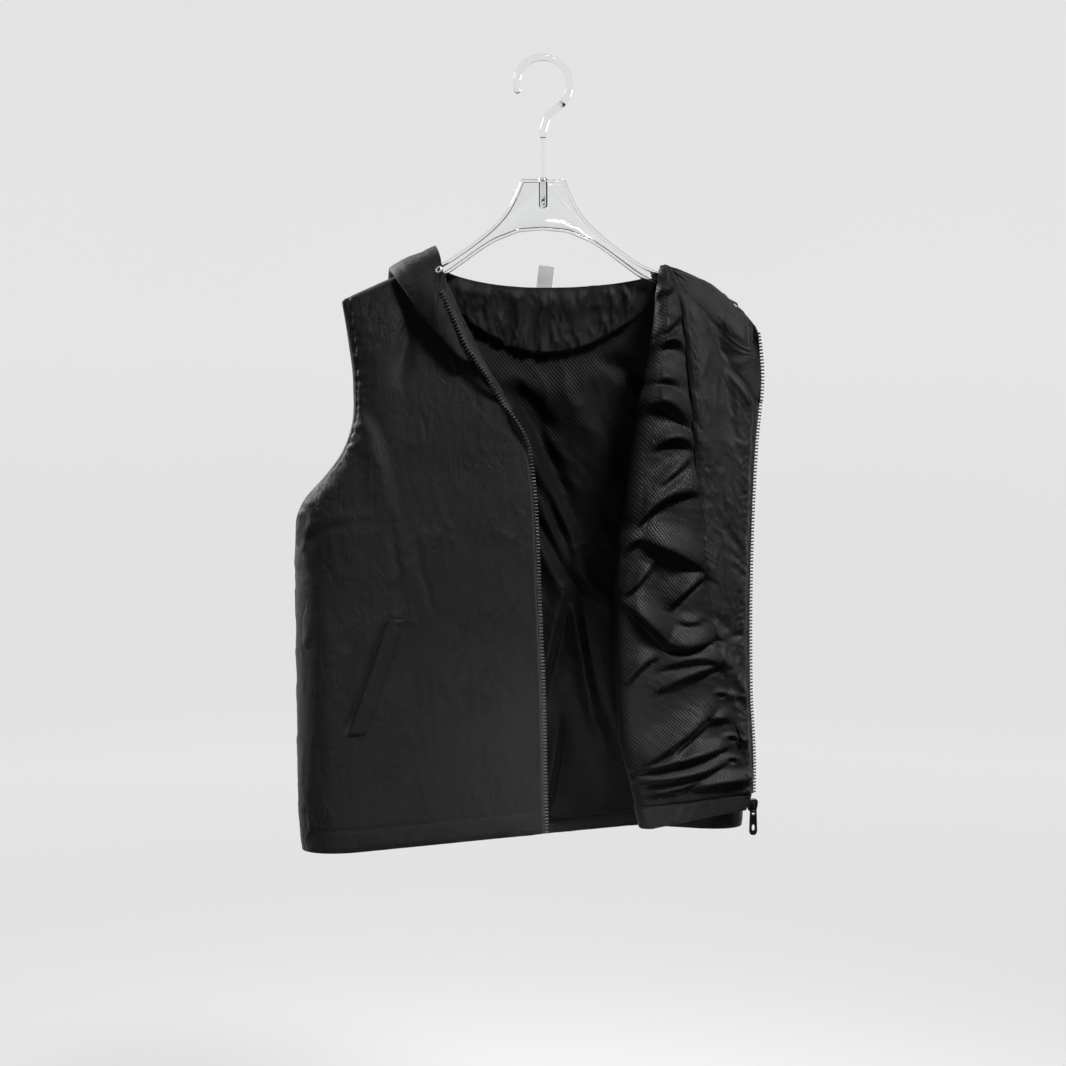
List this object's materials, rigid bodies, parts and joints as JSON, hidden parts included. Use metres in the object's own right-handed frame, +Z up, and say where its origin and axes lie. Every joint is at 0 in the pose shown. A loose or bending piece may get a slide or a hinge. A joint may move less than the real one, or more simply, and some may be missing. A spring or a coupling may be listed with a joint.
{
  "type": "hooded vest on a clothes hanger",
  "caption": "Sleeveless zip vest with a hood, mesh lining and slanted welt pocket, hanging open on a clear hanger with one front folded back.",
  "frame": {"origin": "inside top of the hanger's hook, where it hangs on a rail", "axes": "+Z up, -Y the front of the vest, +X the wearer's left"},
  "size_m": [0.5045, 0.1732, 0.8689],
  "materials": {
    "shell_nylon": "matte crinkled nylon",
    "mesh_lining": "fine polyester mesh",
    "zip_teeth": "moulded teeth on woven tape",
    "zip_metal": "black painted zip metal",
    "eyelet_metal": "bright plated eyelet",
    "label_cloth": "white woven label, blank",
    "clear_plastic": "clear moulded plastic"
  },
  "bodies": {
    "root": {"hanger_body": "clear_plastic", "hanger_hook": "clear_plastic", "back_panel": "shell_nylon", "right_front_panel": "shell_nylon", "left_front_panel": "shell_nylon", "back_neck_facing": "shell_nylon", "back_lining": "mesh_lining", "back_hem_turn": "shell_nylon", "left_front_lining": "mesh_lining", "left_front_facing": "shell_nylon", "left_front_hem_turn": "shell_nylon", "hood": "shell_nylon", "right_zip": "zip_teeth", "left_zip": "zip_teeth", "zip_slider": "zip_metal", "zip_pull": "zip_metal", "right_pocket_welt": "shell_nylon", "hood_eyelet_right": "eyelet_metal", "hood_eyelet_left": "eyelet_metal", "neck_label": "label_cloth"}
  },
  "joints": []
}
